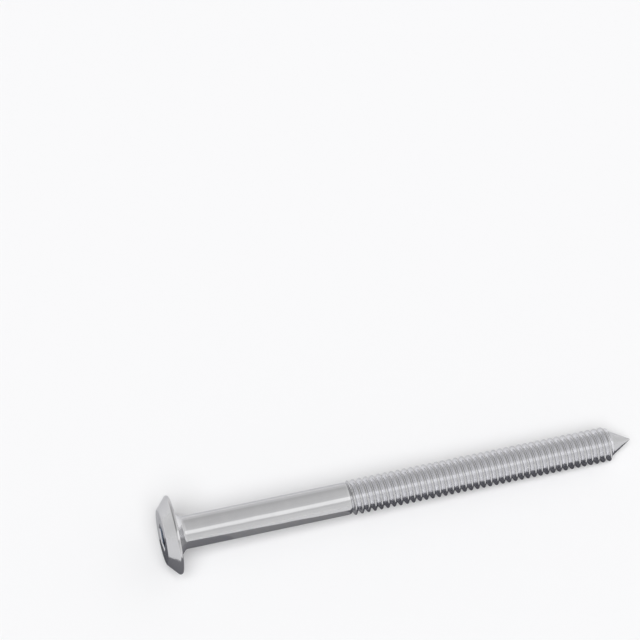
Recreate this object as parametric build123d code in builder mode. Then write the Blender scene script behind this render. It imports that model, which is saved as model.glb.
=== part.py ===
"""Furniture connector screw: one cold-headed, thread-rolled piece of plated steel.

The screw is drawn upright on the Z axis, with its bearing face at z = 0, the head
below it and the tip at the top. It is then laid down as it would come to rest on a
table, on the rim of its head and on its last full thread crest, with the tip toward +X.
"""

import os
from math import atan2, cos, floor, radians, sin, tan

from build123d import *

# Driving sizes in mm: an M6 screw, 80 mm under its head
thread_diameter = 6.0
thread_pitch = 1.13
thread_depth = 0.45
crest_width = 0.4
shank_diameter = 5.5
shank_length = 29.9
under_head_length = 80.0

# Head: a low, wide disc with a broad bevel and a hexagon socket
head_diameter = 13.3
head_height = 2.2
rim_height = 0.475
bevel_angle = 48.5
rim_front_round = 0.3
rim_rear_bevel = 0.2

# Neck: a steep collar under the head that locks into the bored hole
collar_diameter = 8.4
collar_angle = 48.0
neck_round = 0.8

# Socket for a 4 mm hexagon key
key_width = 4.0
socket_depth = 2.7
socket_bevel = 0.15
socket_cone_depth = 0.5
socket_turn = 10.0

# Ends of the thread and the point
shoulder_length = 0.6
neck_depth = 0.05
lead_in_radius = 2.6
lead_in_length = 0.2
least_lead_out = 0.3
cone_length = 3.73
cone_angle = 30.0
tip_round = 0.15

# The helix starts on local +X, the side that will lie on the floor, with a crest
# that is still hidden in the shank, this far before the shank's end
hidden_crest_setback = 0.31

# The groove is cut in short runs, which keeps its helical faces light
turns_per_run = 4
cutter_overhang = 0.06

# Derived radii
thread_radius = thread_diameter / 2
root_radius = thread_radius - thread_depth
shank_radius = shank_diameter / 2
head_radius = head_diameter / 2
face_radius = head_radius - (head_height - rim_height) * tan(radians(bevel_angle))
collar_radius = collar_diameter / 2
key_radius = key_width / 2

# Derived heights along the screw
collar_height = (collar_radius - shank_radius) / tan(radians(collar_angle))
cone_start = under_head_length - cone_length
tip_centre = under_head_length - tip_round
sharp_tip = tip_centre + tip_round / sin(radians(cone_angle))
cone_start_radius = (sharp_tip - cone_start) * tan(radians(cone_angle))
tip_touch = tip_centre + tip_round * sin(radians(cone_angle))
tip_touch_radius = tip_round * cos(radians(cone_angle))

# The thread has as many full turns as fit before the cone
first_floor_crest = shank_length - hidden_crest_setback
turns_room = cone_start - least_lead_out - first_floor_crest
full_turns = floor(turns_room / thread_pitch)
thread_end = first_floor_crest + full_turns * thread_pitch


def head_and_shank():
    """Draw the half-section from the head's face to the shoulder above the shank."""
    shoulder_start = (shank_radius, shank_length - shoulder_length)
    shoulder_end = (root_radius - neck_depth, shank_length)
    with BuildSketch(Plane.XZ) as section:
        with BuildLine():
            Polyline(
                (0, -head_height),
                (face_radius, -head_height),
                (head_radius, -rim_height),
                (head_radius, 0),
                (collar_radius, 0),
                (shank_radius, collar_height),
                shoulder_start,
            )
            # The rolled shoulder leaves the shank smoothly and ends under the thread
            TangentArc(shoulder_start, shoulder_end, tangent=(0, 1))
            Polyline(shoulder_end, (0, shank_length), (0, -head_height))
        make_face()
        neck = section.vertices().sort_by_distance((shank_radius, collar_height))[0]
        fillet(neck, radius=neck_round)
        front_edge = section.vertices().sort_by_distance((head_radius, -rim_height))[0]
        fillet(front_edge, radius=rim_front_round)
        rear_edge = section.vertices().sort_by_distance((head_radius, 0))[0]
        chamfer(rear_edge, length=rim_rear_bevel)
    return section.sketch


def thread_blank():
    """Draw the half-section of the threaded end before its groove is cut."""
    with BuildSketch(Plane.XZ) as section:
        with BuildLine():
            Polyline(
                (0, shank_length),
                (lead_in_radius, shank_length),
                (thread_radius, shank_length + lead_in_length),
                (thread_radius, thread_end),
                (cone_start_radius, cone_start),
                (tip_touch_radius, tip_touch),
            )
            # The point is a small ball that the cone runs into smoothly
            TangentArc(
                (tip_touch_radius, tip_touch),
                (0, under_head_length),
                tangent=(-sin(radians(cone_angle)), cos(radians(cone_angle))),
            )
            Line((0, under_head_length), (0, shank_length))
        make_face()
    return section.sketch


def thread_groove(start, turns):
    """Make one run of the V groove as a solid that is wider than the blank.

    The groove starts on the floor side at the given height. Three right-hand helices,
    two outside the blank and one at the root, carry its ruled flanks.
    """
    flank_slope = (thread_pitch - crest_width) / 2 / thread_depth
    mouth_radius = thread_radius + cutter_overhang
    mouth_half = flank_slope * (mouth_radius - root_radius)
    corners = [
        (mouth_radius, start - mouth_half),
        (root_radius, start),
        (mouth_radius, start + mouth_half),
    ]
    rails = [
        Edge.make_helix(thread_pitch, turns * thread_pitch, radius, center=(0, 0, z))
        for radius, z in corners
    ]
    sides = [
        Face.make_surface_from_curves(rail, following)
        for rail, following in zip(rails, rails[1:] + rails[:1])
    ]
    ends = [
        Face(Wire.make_polygon([rail @ end for rail in rails], close=True))
        for end in (0, 1)
    ]
    return Solid(Shell(sides + ends))


# The threaded end: its groove starts a turn early, out of the blank
with BuildPart() as threaded_end:
    add(thread_blank())
    revolve(axis=Axis.Z)
    first_groove = first_floor_crest - thread_pitch / 2
    groove_turns = full_turns + 1
    # The first turn, which cuts the lead-in, is a run of its own
    run_starts = [0, *range(1, groove_turns, turns_per_run)]
    for turn, next_turn in zip(run_starts, run_starts[1:] + [groove_turns]):
        run_height = first_groove + turn * thread_pitch
        add(thread_groove(run_height, next_turn - turn), mode=Mode.SUBTRACT)

# The whole screw, with the key's socket in its head
with BuildPart() as upright_screw:
    add(head_and_shank())
    revolve(axis=Axis.Z)
    with BuildSketch(Plane.XY.offset(-head_height)):
        RegularPolygon(key_radius, 6, major_radius=False, rotation=socket_turn)
    extrude(amount=socket_depth, mode=Mode.SUBTRACT)
    mouth = upright_screw.faces().sort_by(Axis.Z)[0].inner_wires()[0]
    chamfer(mouth.edges(), length=socket_bevel)
    with Locations((0, 0, socket_depth - head_height + socket_cone_depth / 2)):
        Cone(key_radius, 0, socket_cone_depth, mode=Mode.SUBTRACT)
    add(threaded_end.part)

# How it lies: the rear corner of its rim and the last crest touch the floor
support_rise = head_radius - thread_radius
support_reach = thread_end + rim_rear_bevel
rest_tilt = atan2(support_rise, support_reach)
bearing_height = head_radius * cos(rest_tilt) - rim_rear_bevel * sin(rest_tilt)

# The origin is under the middle of the screw's box
tip_reach = tip_centre * cos(rest_tilt) + tip_round
face_reach = head_height * cos(rest_tilt) + face_radius * sin(rest_tilt)
resting_plane = Plane(
    origin=((face_reach - tip_reach) / 2, 0, bearing_height),
    x_dir=(-sin(rest_tilt), 0, -cos(rest_tilt)),
    z_dir=(cos(rest_tilt), 0, -sin(rest_tilt)),
)

with BuildPart() as connector_screw:
    add(upright_screw.part.moved(resting_plane.location))

connector_screw.part.label = "connector_screw"
os.makedirs("parts", exist_ok=True)
export_step(connector_screw.part, "parts/connector_screw.step")
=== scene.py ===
"""Looks of a furniture connector screw: bright zinc plate on a cold-headed, rolled screw.

The whole screw is one closed surface, worked out as rows along its axis and columns
round it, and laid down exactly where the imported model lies. Its sizes are in
millimetres until the last step, which places it in the shared frame in metres.
"""

import logging
from dataclasses import dataclass, field
from enum import Enum
from math import atan2, cos, pi, radians, sin, tan
from typing import Any

import bpy
import numpy as np
from mathutils import Matrix, Vector

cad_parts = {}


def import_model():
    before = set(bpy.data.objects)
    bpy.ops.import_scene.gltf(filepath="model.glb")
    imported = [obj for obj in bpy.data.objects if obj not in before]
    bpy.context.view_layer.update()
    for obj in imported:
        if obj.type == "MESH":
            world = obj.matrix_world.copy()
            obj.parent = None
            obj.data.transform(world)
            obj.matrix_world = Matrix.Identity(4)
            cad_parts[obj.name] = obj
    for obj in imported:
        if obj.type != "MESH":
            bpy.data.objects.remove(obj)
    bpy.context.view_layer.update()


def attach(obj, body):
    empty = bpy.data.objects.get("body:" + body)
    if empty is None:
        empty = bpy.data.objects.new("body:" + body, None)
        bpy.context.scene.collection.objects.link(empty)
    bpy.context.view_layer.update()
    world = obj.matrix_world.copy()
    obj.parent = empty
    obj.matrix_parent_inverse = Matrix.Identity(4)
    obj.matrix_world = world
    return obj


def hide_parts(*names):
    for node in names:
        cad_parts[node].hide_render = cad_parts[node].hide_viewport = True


LOG = logging.getLogger("connector_screw")
MM = 0.001

# Rows of a section, corners of an outline or steps of a ramp
Pairs = tuple[tuple[float, float], ...]

# A colour Mix node's sockets go by number, since several of them share each name
MIX_SHARE, MIX_FIRST, MIX_SECOND, MIXED = 0, 6, 7, 2


class Zone(Enum):
    """A part of the screw whose painted light and shade, and in places roughness, differ from
    the rest.

    The value names the mesh attribute that says how far each point belongs to it.
    """

    GROOVE = "groove"
    FACE = "face"
    SOCKET = "socket"
    COLLAR_LIGHT = "collar"


def linear(hex_colour: str) -> tuple[float, float, float, float]:
    """Turn an sRGB hex colour into the linear colour that shaders take.

    Args:
        hex_colour: the colour as "#RRGGBB".

    Returns:
        Linear red, green, blue and an alpha of 1.
    """
    channels = np.array([int(hex_colour[i : i + 2], 16) for i in (1, 3, 5)]) / 255
    low = channels / 12.92
    high = ((channels + 0.055) / 1.055) ** 2.4
    return (*np.where(channels <= 0.04045, low, high).tolist(), 1.0)


def add_node(
    tree: bpy.types.NodeTree,
    kind: str,
    values: dict[str | int, Any] | None = None,
    links: dict[str | int, bpy.types.NodeSocket] | None = None,
    **settings: Any,
) -> bpy.types.Node:
    """Add one node with its settings, input values and links.

    Args:
        tree: the node tree that takes the node.
        kind: the node's type name.
        values: input socket to the number or colour it holds.
        links: input socket to the output socket that feeds it.
        settings: the node's own properties.

    Returns:
        The new node.
    """
    node = tree.nodes.new(kind)
    for name, value in settings.items():
        setattr(node, name, value)
    for socket, value in (values or {}).items():
        node.inputs[socket].default_value = value
    for socket, source in (links or {}).items():
        tree.links.new(source, node.inputs[socket])
    return node


def straight(start: tuple[float, float], end: tuple[float, float], count: int) -> np.ndarray:
    """Give points on a straight run of a section, without its end point.

    Args:
        start: radius and height of the run's start.
        end: radius and height of its end.
        count: number of points.

    Returns:
        An array of count rows of radius and height, evenly spaced from the start.
    """
    share = np.arange(count)[:, None] / count
    return (1 - share) * np.array(start) + share * np.array(end)


def rounded(
    centre: tuple[float, float], radius: float, turn: tuple[float, float], count: int
) -> np.ndarray:
    """Give points on a circular arc of a section, with both its ends.

    Args:
        centre: radius and height of the arc's centre.
        radius: the arc's own radius.
        turn: its first and last direction in degrees, from outward toward the tip.
        count: number of points.

    Returns:
        Points at centre + radius * (cos, sin) of evenly spaced directions.
    """
    angle = np.radians(np.linspace(*turn, count))
    return np.array(centre) + radius * np.column_stack([np.cos(angle), np.sin(angle)])


def closed_surface(name: str, points: np.ndarray) -> bpy.types.Object:
    """Make a closed mesh object from rows of points that run round an axis.

    Each four points that are neighbours in row and column make a face. The first and
    the last row are closed by a fan of triangles to a pole at the row's mean.

    Args:
        name: the new object's name.
        points: rows by columns by 3, in metres; the last column joins the first.

    Returns:
        A smooth-shaded object at the origin, with its faces pointing outwards.
    """
    rows, columns, _ = points.shape
    index = np.arange(rows * columns).reshape(rows, columns)
    beside = np.roll(index, -1, axis=1)
    quads = np.stack([index[:-1], beside[:-1], beside[1:], index[1:]], axis=-1)
    faces = quads.reshape(-1, 4).tolist()
    vertices = [points.reshape(-1, 3)]
    # Each fan's order of corners turns it outwards
    for end, (row, order) in enumerate(((0, (0, 2, 1)), (-1, (0, 1, 2)))):
        vertices.append(points[row].mean(axis=0)[None])
        pole = np.full(columns, rows * columns + end)
        fan = np.stack([pole, index[row], beside[row]], axis=-1)
        faces += fan[:, order].tolist()
    mesh = bpy.data.meshes.new(name)
    mesh.from_pydata(np.concatenate(vertices).tolist(), [], faces)
    mesh.shade_smooth()
    piece = bpy.data.objects.new(name, mesh)
    bpy.context.collection.objects.link(piece)
    return piece


@dataclass(frozen=True)
class ScrewHead:
    """The low bevelled disc head, its hexagon socket and the collar behind it.

    Heights count from the bearing face toward the tip, so the head's own are negative.
    """

    radius: float = 6.65
    # Taken off the rim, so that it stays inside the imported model's faceted one
    rim_allowance: float = 0.008
    height: float = 2.2
    rim_height: float = 0.475
    bevel_angle: float = 48.5
    face_edge_round: float = 0.16
    rim_front_round: float = 0.3
    rim_rear_round: float = 0.24
    collar_radius: float = 4.2
    collar_angle: float = 48.0
    # The soft corner at the collar's foot: how far outside it the flat ends, its rows
    # outward from it and toward the tip, and how far inside it the slope starts
    foot_reach: float = 0.12
    foot_rows: Pairs = ((0.08, 0.0), (0.02, 0.006), (-0.05, 0.05))
    slope_inset: float = 0.08
    neck_round: float = 0.8
    key_half_width: float = 2.0
    socket_depth: float = 2.7
    socket_cone_depth: float = 0.5
    # Rows of the cone: shares of the key's half width and of the cone's depth
    cone_rows: Pairs = (
        (0.02, 0.99),
        (0.05, 0.95),
        (0.3, 0.7),
        (0.6, 0.4),
        (0.9, 0.1),
        (0.96, 0.04),
        (0.985, 0.01),
    )
    # Rows of the wall: added to the key's half width, and distance from the cone
    wall_rows: Pairs = ((-0.02, 0.0), (-0.008, 0.01), (0.0, 0.05), (0.0, 0.9), (0.0, 1.8))
    mouth_bevel: float = 0.15
    # Rows that soften the bevel's inner and outer edge: outward from the edge, and into
    # the head from it
    inner_edge: Pairs = ((0.0, 0.06), (0.005, 0.0), (0.03, -0.03))
    outer_edge: Pairs = ((-0.02, 0.022), (0.02, 0.003), (0.07, 0.0))
    # Rows of the flat face, which turn the hexagon into a circle: the circle's radius,
    # what is added to the key's half width, and the hexagon's share
    face_rows: tuple[tuple[float, float, float], ...] = (
        (2.9, 0.5, 0.75),
        (3.5, 0.7, 0.35),
        (4.1, 0.8, 0.1),
    )
    socket_turn: float = 10.0

    @property
    def face_radius(self) -> float:
        """Radius at which the flat face meets the bevel."""
        return self.radius - (self.height - self.rim_height) * tan(radians(self.bevel_angle))

    def hexagon(self, angle: np.ndarray) -> np.ndarray:
        """Give a hexagon's reach in each direction, for an inner radius of 1.

        Args:
            angle: directions round the axis in radians.

        Returns:
            1 / cos of the angle from the middle of the nearest flat.
        """
        sixth = pi / 3
        from_flat = (angle - radians(self.socket_turn)) % sixth - sixth / 2
        return 1 / np.cos(from_flat)

    def socket_and_face(self, angle: np.ndarray) -> tuple[np.ndarray, np.ndarray]:
        """Work out the socket and the flat face round it.

        Each row blends a circle with the hexagon:
        radius = circle + share * (hexagon - circle).

        Args:
            angle: the columns' directions in radians.

        Returns:
            Radii, rows by columns, and one height for each row.
        """
        face = -self.height
        floor = self.socket_depth - self.height
        cone = self.socket_cone_depth
        key = self.key_half_width
        bevel = self.mouth_bevel
        rows = np.array(
            [
                # circle, hexagon's inner radius, share of the hexagon, height
                *((out * key, key, 0, floor + deep * cone) for out, deep in self.cone_rows),
                *((key, key + out, 1, floor - rise) for out, rise in self.wall_rows),
                *((key, key + out, 1, face + bevel + deep) for out, deep in self.inner_edge),
                *((key, key + bevel + out, 1, face + deep) for out, deep in self.outer_edge),
                *((circle, key + out, share, face) for circle, out, share in self.face_rows),
                (self.face_radius - self.face_edge_round, key, 0, face),
            ]
        )
        circle, inner, share, height = rows.T
        hexagon = inner[:, None] * self.hexagon(angle)[None]
        radius = circle[:, None] + share[:, None] * (hexagon - circle[:, None])
        return radius, height

    def outside(self, shank_radius: float) -> np.ndarray:
        """Draw the section from the face's edge over the rim to the end of the collar.

        Each corner is an arc that touches both its sides, so it starts at radius times
        tan(half the corner's turn) before the corner.

        Args:
            shank_radius: radius of the shank that the collar runs into.

        Returns:
            Rows of radius and height.
        """
        bevel = radians(self.bevel_angle)
        turn = radians(self.collar_angle)
        rim = self.radius - self.rim_allowance
        foot = self.collar_radius
        face_reach = self.face_edge_round * tan(pi / 4 - bevel / 2)
        front_reach = self.rim_front_round * tan(bevel / 2)
        neck_height = (self.collar_radius - shank_radius) / tan(turn)
        neck_height += self.neck_round * tan(turn / 2)
        face_edge = rounded(
            (self.face_radius - face_reach, self.face_edge_round - self.height),
            self.face_edge_round,
            (-90, -self.bevel_angle),
            count=6,
        )
        front_edge = rounded(
            (rim - self.rim_front_round, front_reach - self.rim_height),
            self.rim_front_round,
            (-self.bevel_angle, 0),
            count=8,
        )
        rear_edge = rounded(
            (rim - self.rim_rear_round, -self.rim_rear_round),
            self.rim_rear_round,
            (0, 90),
            count=8,
        )
        neck = rounded(
            (shank_radius + self.neck_round, neck_height),
            self.neck_round,
            (180 + self.collar_angle, 180),
            count=9,
        )
        slope_start = (foot - self.slope_inset, self.slope_inset / tan(turn))
        return np.concatenate(
            [
                face_edge,
                straight(face_edge[-1], front_edge[0], count=14)[1:],
                front_edge,
                rear_edge,
                straight(rear_edge[-1], (foot + self.foot_reach, 0), count=6)[1:],
                np.array(self.foot_rows) + (foot, 0),
                straight(slope_start, neck[0], count=5),
                neck,
            ]
        )


@dataclass(frozen=True)
class ScrewShank:
    """The plain shank and the rolled shoulder in which it ends."""

    radius: float = 2.75
    length: float = 29.9
    shoulder_length: float = 0.62
    shoulder_foot: float = 2.42

    @property
    def shoulder_start(self) -> float:
        """Height at which the shoulder leaves the shank."""
        return self.length - self.shoulder_length

    def section(self, start: float) -> np.ndarray:
        """Draw the plain part, from the end of the neck to the shoulder.

        Args:
            start: height at which the neck ends.

        Returns:
            Rows of radius and height, none of them at either end.
        """
        end = (self.radius, self.shoulder_start)
        return straight((self.radius, start), end, count=24)[1:]

    def shoulder(self, height: np.ndarray) -> np.ndarray:
        """Give the shoulder's radius at each height, a quarter of an ellipse.

        Args:
            height: heights along the screw.

        Returns:
            foot + (radius - foot) * sqrt(1 - share squared), zero past the shoulder.
        """
        share = (height - self.length + self.shoulder_length) / self.shoulder_length
        fall = np.sqrt(np.clip(1 - np.clip(share, 0, 1) ** 2, 0, 1))
        radius = self.shoulder_foot + (self.radius - self.shoulder_foot) * fall
        return np.where(share < 1, radius, 0)


@dataclass(frozen=True)
class RolledThread:
    """The right-hand rolled thread, its lead-in, and the plain cone it dies out on."""

    radius: float = 3.0
    pitch: float = 1.13
    depth: float = 0.6
    crest_round: float = 0.2
    root_round: float = 0.18
    flank_angle: float = 30.0
    start: float = 29.88
    start_radius: float = 2.52
    lead_in: float = 0.22
    first_crest: float = 29.59
    turns: int = 41
    lead_out: float = 0.4
    # How the crests fall to the cone: below 1, they fall fastest at first
    lead_out_power: float = 0.6
    # From the end of the threaded length to the first row of the plain cone
    cone_gap: float = 0.03
    tip: float = 80.0
    tip_round: float = 0.15
    # Direction of the ball's last row, in degrees from outward toward the tip
    ball_end: float = 84.0
    cone_angle: float = 30.0
    lead_in_rows: int = 16
    rows_per_turn: int = 14

    @property
    def end(self) -> float:
        """Height of the last full crest on the floor side."""
        return self.first_crest + self.turns * self.pitch

    @property
    def sharp_tip(self) -> float:
        """Height at which the cone would end without its tiny ball."""
        return self.tip - self.tip_round + self.tip_round / sin(radians(self.cone_angle))

    def ridge(self, offset: np.ndarray) -> np.ndarray:
        """Give the thread's height over its root, at a distance from a crest.

        The section is an arc at the crest, a straight flank and an arc at the root.

        Args:
            offset: distance along the screw from the nearest crest, up to half a pitch.

        Returns:
            Height over the root's lowest point.
        """
        lean = radians(90 - self.flank_angle)
        crest, root = self.crest_round, self.root_round
        from_root = self.pitch / 2 - offset
        crest_end, root_end = crest * sin(lean), root * sin(lean)
        on_crest = self.depth - crest + np.sqrt(np.clip(crest**2 - offset**2, 0, None))
        on_root = root - np.sqrt(np.clip(root**2 - from_root**2, 0, None))
        top = self.depth - crest * (1 - cos(lean))
        foot = root * (1 - cos(lean))
        share = (offset - crest_end) / (self.pitch / 2 - root_end - crest_end)
        on_flank = top + (foot - top) * share
        return np.where(share < 0, on_crest, np.where(share > 1, on_root, on_flank))

    def surface(
        self, angle: np.ndarray, height: np.ndarray, shank: ScrewShank
    ) -> tuple[np.ndarray, np.ndarray]:
        """Work out the threaded length, from the shoulder to the cone.

        A crest climbs one pitch in each turn, so the distance from it at any place is
        height - first crest - pitch * angle / full turn, folded into half a pitch.

        Args:
            angle: the columns' directions in radians, from the floor side.
            height: the rows' heights.
            shank: the shank whose shoulder the thread starts from.

        Returns:
            Radii, rows by columns, and how deep in a groove each point is, from 0 to 1.
        """
        along = height[:, None]
        turned = along - self.first_crest - self.pitch * angle[None] / (2 * pi)
        offset = np.abs((turned + self.pitch / 2) % self.pitch - self.pitch / 2)
        ridge = self.ridge(offset)
        cone = (self.sharp_tip - along) * tan(radians(self.cone_angle))
        core = np.minimum(self.radius - self.depth, cone)
        rise = np.clip((along - self.start) / self.lead_in, 0, 1)
        ceiling = self.start_radius + (self.radius - self.start_radius) * np.sqrt(rise)
        fall = np.clip((along - self.end) / self.lead_out, 0, 1)
        fading = self.radius + (cone - self.radius) * fall**self.lead_out_power
        radius = np.minimum(core + ridge, np.minimum(ceiling, fading))
        radius = np.where(along < self.start, 0, np.maximum(radius, np.minimum(core, cone)))
        radius = np.maximum(radius, shank.shoulder(along))
        in_groove = 1 - ridge / self.depth
        in_thread = (along > self.start) & (along < self.end + self.lead_out)
        return radius, np.where(in_thread, in_groove, 0)

    def rows(self, shank: ScrewShank) -> np.ndarray:
        """Give the heights of the threaded length's rows, closer together in its lead-in.

        Args:
            shank: the shank whose shoulder the rows start from.

        Returns:
            One height for each row.
        """
        first = shank.shoulder_start
        full = self.start + self.lead_in
        count = self.lead_in_rows
        fine = first + (full - first) * np.arange(count) / count
        step = self.pitch / self.rows_per_turn
        return np.concatenate([fine, np.arange(full, self.end + self.lead_out, step)])

    def point(self) -> np.ndarray:
        """Draw the section of the plain cone and the tiny ball at its tip.

        Returns:
            Rows of radius and height, the last one just before the pole.
        """
        centre = (0, self.tip - self.tip_round)
        ball = rounded(centre, self.tip_round, (self.cone_angle, self.ball_end), count=7)
        foot = self.end + self.lead_out + self.cone_gap
        foot_radius = (self.sharp_tip - foot) * tan(radians(self.cone_angle))
        return np.concatenate([straight((foot_radius, foot), ball[0], count=16), ball])


@dataclass(frozen=True)
class RestingPlace:
    """Where the screw lies: on the rear of its rim and on its last full crest."""

    head_radius: float
    head_height: float
    face_radius: float
    thread_radius: float
    thread_end: float
    tip: float
    tip_round: float
    rim_rear_bevel: float = 0.2

    @property
    def tilt(self) -> float:
        """Angle by which the axis falls from the head to the tip, in radians."""
        rise = self.head_radius - self.thread_radius
        return atan2(rise, self.thread_end + self.rim_rear_bevel)

    def axis(self) -> np.ndarray:
        """Direction of the screw's axis toward its tip."""
        return np.array([cos(self.tilt), 0, -sin(self.tilt)])

    def floor_side(self) -> np.ndarray:
        """Direction square to the axis that points at the floor."""
        return np.array([-sin(self.tilt), 0, -cos(self.tilt)])

    def bearing_centre(self) -> np.ndarray:
        """Find the middle of the bearing face, with the origin under the box's middle.

        Returns:
            Its place in millimetres.
        """
        tip_reach = (self.tip - self.tip_round) * cos(self.tilt) + self.tip_round
        face_reach = self.head_height * cos(self.tilt) + self.face_radius * sin(self.tilt)
        height = self.head_radius * cos(self.tilt) - self.rim_rear_bevel * sin(self.tilt)
        return np.array([(face_reach - tip_reach) / 2, 0, height])

    def place(self, radius: np.ndarray, angle: np.ndarray, height: np.ndarray) -> np.ndarray:
        """Turn radius, angle and height on the screw into points in the shared frame.

        Point = bearing centre + height * axis
        + radius * (cos(angle) * floor side + sin(angle) * Y).

        Args:
            radius: radii in millimetres, rows by columns.
            angle: directions of the columns in radians, from the floor side.
            height: one height for each row, in millimetres from the bearing face.

        Returns:
            Points in metres, rows by columns by 3.
        """
        across = radius[..., None] * np.cos(angle)[None, :, None] * self.floor_side()
        beside = radius[..., None] * np.sin(angle)[None, :, None] * np.array([0, 1.0, 0])
        along = height[:, None, None] * self.axis()
        return (self.bearing_centre() + along + across + beside) * MM


@dataclass(frozen=True)
class ZincPlate:
    """Bright zinc plate on cold-formed steel.

    Barrel plating leaves a smooth, slightly cloudy metal: clear highlights with soft
    edges, a cool grey in the shade, and faint marks of the drawn wire along the shank.
    """

    bright: str = "#D1D1D2"
    cloudy: str = "#C7C7C9"
    # Painted light: the grooves are paler and bluer, which lifts the shade deep in them
    groove: str = "#E4E4E7"
    # Painted shade: the flat face is darker than the plate, for the dark reflection it shows
    face: str = "#8F9095"
    # Painted reflection: the socket is bluish, for the bluish light seen in it
    socket: str = "#D3DAE3"
    # Painted light: the collar is paler, which lifts the shade in the corner between head and
    # shank
    collar: str = "#E6E6E7"
    edge: str = "#DEDEE0"
    # Roughness of the bright and of the cloudy plate, and what is added in two zones
    roughness: tuple[float, float] = (0.08, 0.14)
    groove_roughness: float = 0.14
    face_roughness: float = 0.12
    # Shares of the groove's depth at which its painted light, a paler tone, starts and is full
    groove_light_from: float = 0.12
    groove_light_to: float = 0.65
    cloud_mm: float = 2.6
    # Noise hardly leaves this range, so the clouds take it as their whole one
    cloud_range: tuple[float, float] = (0.3, 0.7)
    # The real grain is finer than 0.02 mm, so it is drawn this coarse to show near by
    grain_mm: float = 0.12
    grain_height_mm: float = 0.004
    # Real drawing marks are finer too, so these are drawn as wide as they need to show
    draw_mark_mm: float = 0.45
    draw_mark_height_mm: float = 0.014
    # A mark's width as a share of its length
    draw_mark_slimness: float = 0.03

    def material(self, place: RestingPlace) -> bpy.types.Material:
        """Build the material in the screw's own axes.

        Args:
            place: where the screw lies, which turns the pattern along it.

        Returns:
            The finished material.
        """
        material = bpy.data.materials.new("bright_zinc_plate")
        material.use_nodes = True
        tree = material.node_tree
        shader = tree.nodes["Principled BSDF"]
        shader.inputs["Metallic"].default_value = 1.0
        # A metal reflects a little less just before its outline
        shader.inputs["Specular Tint"].default_value = linear(self.edge)
        coordinates = add_node(tree, "ShaderNodeTexCoord")
        # Turned so that X runs along the axis; metres become millimetres
        along = add_node(
            tree,
            "ShaderNodeMapping",
            values={"Rotation": (0, -place.tilt, 0), "Scale": (1 / MM, 1 / MM, 1 / MM)},
            links={"Vector": coordinates.outputs["Object"]},
        ).outputs[0]
        clouds = add_node(
            tree,
            "ShaderNodeTexNoise",
            values={"Scale": 1 / self.cloud_mm, "Detail": 4.0, "Roughness": 0.55},
            links={"Vector": along},
        ).outputs["Fac"]
        zones = {}
        for zone in Zone:
            node = add_node(tree, "ShaderNodeAttribute", attribute_name=zone.value)
            zones[zone] = node.outputs["Fac"]
        for name, source in (
            ("Base Color", self.colour(tree, clouds, zones)),
            ("Roughness", self.sheen(tree, clouds, zones)),
            ("Normal", self.relief(tree, along)),
        ):
            tree.links.new(source, shader.inputs[name])
        return material

    def colour(
        self,
        tree: bpy.types.NodeTree,
        clouds: bpy.types.NodeSocket,
        zones: dict[Zone, bpy.types.NodeSocket],
    ) -> bpy.types.NodeSocket:
        """Mix the plate's cloudy colour and lay over it the painted light and shade of each
        zone.

        Args:
            tree: the material's nodes.
            clouds: how cloudy the plate is.
            zones: how far a point belongs to each zone.

        Returns:
            The socket that carries the colour.
        """
        # Painted light deep in the grooves
        pale = add_node(
            tree,
            "ShaderNodeMapRange",
            values={"From Min": self.groove_light_from, "From Max": self.groove_light_to},
            links={"Value": zones[Zone.GROOVE]},
        ).outputs[0]
        colour = add_node(
            tree,
            "ShaderNodeMix",
            values={MIX_FIRST: linear(self.bright), MIX_SECOND: linear(self.cloudy)},
            links={MIX_SHARE: clouds},
            data_type="RGBA",
        ).outputs[MIXED]
        for share, tone in (
            (pale, self.groove),
            (zones[Zone.FACE], self.face),
            (zones[Zone.SOCKET], self.socket),
            (zones[Zone.COLLAR_LIGHT], self.collar),
        ):
            colour = add_node(
                tree,
                "ShaderNodeMix",
                values={MIX_SECOND: linear(tone)},
                links={MIX_SHARE: share, MIX_FIRST: colour},
                data_type="RGBA",
            ).outputs[MIXED]
        return colour

    def sheen(
        self,
        tree: bpy.types.NodeTree,
        clouds: bpy.types.NodeSocket,
        zones: dict[Zone, bpy.types.NodeSocket],
    ) -> bpy.types.NodeSocket:
        """Make the plate duller where it is cloudy, deep in the grooves and on the face.

        Args:
            tree: the material's nodes.
            clouds: how cloudy the plate is.
            zones: how far a point belongs to each zone.

        Returns:
            The socket that carries the roughness.
        """
        low, high = self.cloud_range
        bright, cloudy = self.roughness
        roughness = add_node(
            tree,
            "ShaderNodeMapRange",
            values={"From Min": low, "From Max": high, "To Min": bright, "To Max": cloudy},
            links={"Value": clouds},
        ).outputs[0]
        for zone, added in (
            (Zone.GROOVE, self.groove_roughness),
            (Zone.FACE, self.face_roughness),
        ):
            roughness = add_node(
                tree,
                "ShaderNodeMath",
                values={1: added},
                links={0: zones[zone], 2: roughness},
                operation="MULTIPLY_ADD",
            ).outputs[0]
        return roughness

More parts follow.
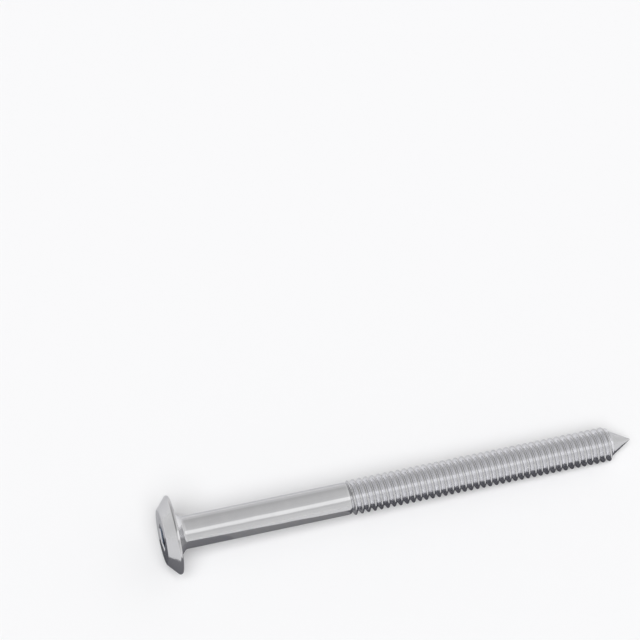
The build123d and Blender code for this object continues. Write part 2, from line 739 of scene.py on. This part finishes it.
    def relief(
        self, tree: bpy.types.NodeTree, along: bpy.types.NodeSocket
    ) -> bpy.types.NodeSocket:
        """Give the plate its fine grain and the drawing marks along the screw.

        Args:
            tree: the material's nodes.
            along: the place on the screw in millimetres, with X along its axis.

        Returns:
            The socket that carries the normal.
        """
        grain = add_node(
            tree,
            "ShaderNodeTexNoise",
            values={"Scale": 1 / self.grain_mm, "Detail": 2.0},
            links={"Vector": along},
        ).outputs["Fac"]
        stretched = add_node(
            tree,
            "ShaderNodeMapping",
            values={"Scale": (self.draw_mark_slimness, 1, 1)},
            links={"Vector": along},
        ).outputs[0]
        draw_marks = add_node(
            tree,
            "ShaderNodeTexNoise",
            values={"Scale": 1 / self.draw_mark_mm, "Detail": 3.0, "Roughness": 0.6},
            links={"Vector": stretched},
        ).outputs["Fac"]
        grainy = add_node(
            tree,
            "ShaderNodeBump",
            values={"Strength": 0.35, "Distance": self.grain_height_mm * MM},
            links={"Height": grain},
        ).outputs[0]
        return add_node(
            tree,
            "ShaderNodeBump",
            values={"Strength": 1.0, "Distance": self.draw_mark_height_mm * MM},
            links={"Height": draw_marks, "Normal": grainy},
        ).outputs[0]


@dataclass
class ConnectorScrew:
    """The one-piece screw: head, shank, thread and point as one closed surface."""

    head: ScrewHead = field(default_factory=ScrewHead)
    shank: ScrewShank = field(default_factory=ScrewShank)
    thread: RolledThread = field(default_factory=RolledThread)
    finish: ZincPlate = field(default_factory=ZincPlate)
    columns: int = 120
    # How far under the mouth's bevel the socket's painted reflection starts
    socket_margin: float = 0.03
    # How close to the face's height a row is taken as part of it
    face_margin: float = 0.001
    # How far outside the shank's radius the collar's painted light is full
    collar_light_fade: float = 0.7

    def resting_place(self) -> RestingPlace:
        """Work out where the screw lies from its own sizes."""
        return RestingPlace(
            head_radius=self.head.radius,
            head_height=self.head.height,
            face_radius=self.head.face_radius,
            thread_radius=self.thread.radius,
            thread_end=self.thread.end,
            tip=self.thread.tip,
            tip_round=self.thread.tip_round,
        )

    def mark(self, piece: bpy.types.Object, zone: Zone, first: int, share: np.ndarray) -> None:
        """Write a zone's attribute, which is zero outside the given rows.

        Args:
            piece: the screw's surface.
            zone: the zone to mark.
            first: number of the first row that is given.
            share: how far the points belong to the zone, as rows by columns, or as one
                value for each row.
        """
        rows = len(share)
        values = np.zeros(len(piece.data.vertices))
        start, end = first * self.columns, (first + rows) * self.columns
        by_point = np.broadcast_to(share.reshape(rows, -1), (rows, self.columns))
        values[start:end] = by_point.ravel()
        layer = piece.data.attributes.new(zone.value, "FLOAT", "POINT")
        layer.data.foreach_set("value", values)

    def build(self) -> bpy.types.Object:
        """Make the screw's surface, from the socket's bottom to the tip, and dress it.

        Returns:
            The screw's one piece.
        """
        angle = radians(self.head.socket_turn) + 2 * pi * np.arange(self.columns) / self.columns
        socket, socket_height = self.head.socket_and_face(angle)
        outside = self.head.outside(self.shank.radius)
        plain = self.shank.section(outside[-1, 1])
        thread_height = self.thread.rows(self.shank)
        thread, in_groove = self.thread.surface(angle, thread_height, self.shank)
        point = self.thread.point()
        before = np.concatenate([outside, plain])
        radius = np.concatenate(
            [
                socket,
                np.repeat(before[:, :1], self.columns, axis=1),
                thread,
                np.repeat(point[:, :1], self.columns, axis=1),
            ]
        )
        height = np.concatenate([socket_height, before[:, 1], thread_height, point[:, 1]])
        place = self.resting_place()
        piece = closed_surface("screw_body", place.place(radius, angle, height))
        face = -self.head.height
        # The socket's painted reflection starts under the mouth's bevel
        socket_reflection_share = socket_height > face + self.head.mouth_bevel + self.socket_margin
        on_face = socket_height < face + self.face_margin
        # The collar's painted light fades in outward from the shank
        collar_light_ramp = (outside[:, 0] - self.shank.radius) / self.collar_light_fade
        collar_light_share = (outside[:, 1] > 0) * np.clip(collar_light_ramp, 0, 1)
        self.mark(piece, Zone.GROOVE, len(socket) + len(before), in_groove)
        self.mark(piece, Zone.SOCKET, 0, socket_reflection_share)
        self.mark(piece, Zone.FACE, 0, on_face)
        self.mark(piece, Zone.COLLAR_LIGHT, len(socket), collar_light_share)
        piece.data.materials.append(self.finish.material(place))
        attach(piece, "root")
        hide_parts("connector_screw")
        return piece


def direction(azimuth: float, elevation: float) -> Vector:
    """Give the unit vector of a direction.

    Args:
        azimuth: degrees from +X toward +Y.
        elevation: degrees over the table.

    Returns:
        The vector away from the origin.
    """
    turn, rise = radians(azimuth), radians(elevation)
    return Vector((cos(rise) * cos(turn), cos(rise) * sin(turn), sin(rise)))


def hang_lamp(lamp: bpy.types.Light, away: Vector, distance: float) -> bpy.types.Object:
    """Hang a lamp in a direction and turn it to the screw.

    Args:
        lamp: the lamp's data.
        away: direction from the screw.
        distance: distance from the screw in metres.

    Returns:
        The lamp's object.
    """
    holder = bpy.data.objects.new(lamp.name, lamp)
    bpy.context.collection.objects.link(holder)
    turn = away.to_track_quat("Z", "Y").to_matrix().to_4x4()
    holder.matrix_world = Matrix.Translation(away * distance) @ turn
    return holder


@dataclass(frozen=True)
class StripLamp:
    """A long flat lamp that only draws a highlight on the metal.

    Its sizes are in metres. Its brightness is how bright its face looks, where 1 is
    white.
    """

    azimuth: float = -90.0
    elevation: float = 55.0
    distance: float = 0.8
    length: float = 2.4
    width: float = 0.36
    brightness: float = 0.42

    def hang(self) -> None:
        """Hang the strip, whose power is brightness * pi * length * width."""
        lamp = bpy.data.lights.new("strip_in_front", "AREA")
        lamp.shape = "RECTANGLE"
        lamp.size = self.length
        lamp.size_y = self.width
        lamp.energy = self.brightness * pi * self.length * self.width
        holder = hang_lamp(lamp, direction(self.azimuth, self.elevation), self.distance)
        holder.visible_diffuse = False


@dataclass(frozen=True)
class SoftKey:
    """A wide soft light from over the camera, which lights the whole table evenly.

    The screw hides most of its own shadow from there. Brightness is how bright a
    white surface that faces the light becomes.
    """

    azimuth: float = -105.0
    elevation: float = 60.0
    spread: float = 44.0
    brightness: float = 0.87

    def hang(self) -> None:
        """Hang the light, which the metal doesn't mirror, since the dome is mirrored."""
        lamp = bpy.data.lights.new("soft_key", "SUN")
        lamp.angle = radians(self.spread)
        lamp.energy = self.brightness * pi
        # Such a light falls the same from any distance
        holder = hang_lamp(lamp, direction(self.azimuth, self.elevation), distance=1.0)
        holder.visible_glossy = False


@dataclass(frozen=True)
class MattPaper:
    """Matt paper, which spreads light evenly and hardly mirrors anything."""

    name: str
    colour: str
    roughness: float = 0.9
    mirroring: float = 0.1

    def material(self) -> bpy.types.Material:
        """Build the material.

        Returns:
            The finished material.
        """
        material = bpy.data.materials.new(self.name)
        material.use_nodes = True
        shader = material.node_tree.nodes["Principled BSDF"]
        shader.inputs["Base Color"].default_value = linear(self.colour)
        shader.inputs["Roughness"].default_value = self.roughness
        shader.inputs["Specular IOR Level"].default_value = self.mirroring
        return material


def flat_sheet(name: str, outline: Pairs, height: float, paper: MattPaper) -> bpy.types.Object:
    """Lay a flat sheet that belongs to the studio.

    Args:
        name: the sheet's name.
        outline: X and Y of its corners in metres, counter-clockwise from above.
        height: its height in metres.
        paper: what it is made of.

    Returns:
        The staged object, facing up.
    """
    mesh = bpy.data.meshes.new(name)
    corners = [(*corner, height) for corner in outline]
    mesh.from_pydata(corners, [], [tuple(range(len(corners)))])
    mesh.materials.append(paper.material())
    sheet = bpy.data.objects.new(name, mesh)
    bpy.context.collection.objects.link(sheet)
    return sheet


@dataclass(frozen=True)
class GreyCard:
    """A grey card by the screw that only the metal mirrors, as a painted dark reflection on its
    lower edge.
    """

    name: str
    outline_mm: Pairs
    colour: str
    height_mm: float = 0.2

    def lay(self) -> bpy.types.Object:
        """Lay the card a little over the table, out of the camera's sight.

        Returns:
            The card, which casts no shadow either.
        """
        outline = tuple((x * MM, y * MM) for x, y in self.outline_mm)
        paper = MattPaper(self.name, self.colour)
        card = flat_sheet(self.name, outline, self.height_mm * MM, paper)
        card.visible_camera = False
        card.visible_diffuse = False
        card.visible_shadow = False
        return card


# The cards get narrower toward the tip, where the screw is closer to the table
HEAD_CARD = GreyCard(
    "grey_card_by_head",
    (
        (-50.0, -50.0),
        (-36.0, -50.0),
        (-29.0, -31.0),
        (-29.0, 1.0),
        # From here on it lies before the flat face, which mirrors it
        (-41.3, 1.0),
        (-41.3, 3.6),
        (-47.0, 3.6),
        (-50.0, -3.3),
    ),
    "#828286",
)
SHANK_CARD = GreyCard(
    "grey_card_by_shank",
    ((-29.0, -31.0), (-20.0, -18.0), (-12.0, -12.0), (-8.5, -11.0), (-8.5, 1.0), (-29.0, 1.0)),
    "#929294",
)
THREAD_CARD = GreyCard(
    "grey_card_by_thread",
    (
        (-8.5, -11.0),
        (4.0, -8.4),
        (25.0, -6.7),
        (36.0, -6.3),
        (39.0, -3.4),
        (44.0, -2.2),
        (44.0, 1.0),
        (-8.5, 1.0),
    ),
    "#65656A",
)
# It stops short of the pale table that the screw's top outline mirrors
BACK_CARD = GreyCard(
    "grey_card_behind",
    ((-39.0, 1.0), (44.0, 1.0), (38.0, 5.0), (25.0, 5.6), (-12.0, 6.7), (-39.0, 7.6)),
    "#B0B0B2",
)


@dataclass(frozen=True)
class Studio:
    """Pale table, grey cards, two lamps and a dome of soft light.

    The dome is brighter in front and on the right, and darker on the left.
    """

    table: str = "#F1F1F2"
    # In metres, which takes the table past the edges of the picture
    table_half_width: float = 6.0
    dome_tint: str = "#FFFFFF"
    # How bright the dome is at each height of direction, from the horizon to overhead
    dome_levels: Pairs = ((0.0, 0.93), (0.3, 0.76), (0.6, 0.56), (1.0, 0.55))
    right_glow: float = 1.0
    front_glow: float = 0.36
    left_shade: float = 0.85
    # How much of the dome reaches matt surfaces, which the key lights as well
    share_on_matt: float = 0.5
    cards: tuple[GreyCard, ...] = (HEAD_CARD, SHANK_CARD, THREAD_CARD, BACK_CARD)
    strip: StripLamp = field(default_factory=StripLamp)
    key: SoftKey = field(default_factory=SoftKey)

    def lay_table(self) -> bpy.types.Object:
        """Lay the wide pale table under the screw.

        Returns:
            The table.
        """
        half = self.table_half_width
        outline = ((-half, -half), (half, -half), (half, half), (-half, half))
        return flat_sheet("table", outline, 0.0, MattPaper("matt_table", self.table))

    def light_dome(self) -> None:
        """Light the scene from all round.

        Brightness = level(z) + front glow * max(-y, 0) * z
        + (right glow * max(x, 0) - left shade * max(-x, 0)) * z squared,
        and matt surfaces get their share of it.
        """
        world = bpy.data.worlds.new("soft_dome")
        bpy.context.scene.world = world
        world.use_nodes = True
        tree = world.node_tree
        view = add_node(tree, "ShaderNodeTexCoord")
        parts = add_node(tree, "ShaderNodeSeparateXYZ", links={0: view.outputs["Generated"]})
        levels = add_node(tree, "ShaderNodeValToRGB", links={0: parts.outputs["Z"]})
        ramp = levels.color_ramp
        ramp.interpolation = "EASE"
        while len(ramp.elements) < len(self.dome_levels):
            ramp.elements.new(1.0)
        for element, (height, level) in zip(ramp.elements, self.dome_levels):
            element.position = height
            element.color = (level, level, level, 1)
        ray = add_node(tree, "ShaderNodeLightPath")
        terms = {
            "x": parts.outputs["X"],
            "y": parts.outputs["Y"],
            "z": parts.outputs["Z"],
            "level": levels.outputs["Color"],
            "on matt": ray.outputs["Is Diffuse Ray"],
        }
        # The formula's sums in order: the name of each, the numbers and named terms that
        # it uses, and whether it is kept between 0 and 1
        for name, operation, uses, clamp in (
            ("front", "MULTIPLY", ("y", -1.0), True),
            ("right", "MULTIPLY", ("x", 1.0), True),
            ("left", "MULTIPLY", ("x", -1.0), True),
            ("right light", "MULTIPLY", ("right", self.right_glow), False),
            ("side light", "MULTIPLY_ADD", ("left", -self.left_shade, "right light"), False),
            ("high side light", "MULTIPLY", ("side light", "z"), False),
            ("glow", "MULTIPLY_ADD", ("front", self.front_glow, "high side light"), False),
            ("dome", "MULTIPLY_ADD", ("glow", "z", "level"), False),
            ("share", "MULTIPLY_ADD", ("on matt", self.share_on_matt - 1.0, 1.0), False),
            ("brightness", "MULTIPLY", ("dome", "share"), False),
        ):
            node = add_node(
                tree,
                "ShaderNodeMath",
                values={i: term for i, term in enumerate(uses) if isinstance(term, float)},
                links={i: terms[term] for i, term in enumerate(uses) if isinstance(term, str)},
                operation=operation,
                use_clamp=clamp,
            )
            terms[name] = node.outputs[0]
        background = tree.nodes["Background"]
        background.inputs["Color"].default_value = linear(self.dome_tint)
        tree.links.new(terms["brightness"], background.inputs["Strength"])

    def set_up(self) -> list[bpy.types.Object]:
        """Lay the table and the cards and hang the lights.

        Returns:
            The sheets, the table first.
        """
        sheets = [self.lay_table(), *(card.lay() for card in self.cards)]
        self.light_dome()
        self.strip.hang()
        self.key.hang()
        return sheets


@dataclass(frozen=True)
class PhotoCamera:
    """The camera of the photograph, square to the horizon and without a shift.

    Its azimuth and elevation say where its back points, away from what it sees.
    """

    place_mm: tuple[float, float, float] = (-72.107, -210.878, 362.803)
    azimuth: float = -105.434
    elevation: float = 54.314
    lens: float = 140.6
    sensor_width: float = 36.0
    # The nearest that it sees, in metres
    clip_start: float = 0.02

    def set_up(self) -> None:
        """Place the camera and make it the scene's own."""
        back = direction(self.azimuth, self.elevation)
        right = Vector((0, 0, 1)).cross(back).normalized()
        turn = Matrix((right, back.cross(right), back)).transposed()
        data = bpy.data.cameras.new("photo_camera")
        data.lens = self.lens
        data.sensor_width = self.sensor_width
        data.clip_start = self.clip_start
        camera = bpy.data.objects.new("photo_camera", data)
        bpy.context.collection.objects.link(camera)
        camera.matrix_world = Matrix.Translation(Vector(self.place_mm) * MM) @ turn.to_4x4()
        bpy.context.scene.camera = camera


def main() -> None:
    """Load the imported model, build the screw, its studio and its camera."""
    logging.basicConfig(level=logging.INFO, format="%(name)s: %(message)s")
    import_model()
    screw = ConnectorScrew().build()
    LOG.info("%s: one closed surface of %d faces", screw.name, len(screw.data.polygons))
    for sheet in Studio().set_up():
        LOG.info("%s: laid in the studio", sheet.name)
    PhotoCamera().set_up()
    bpy.context.scene.view_settings.view_transform = "Standard"


if __name__ == "__main__":
    main()
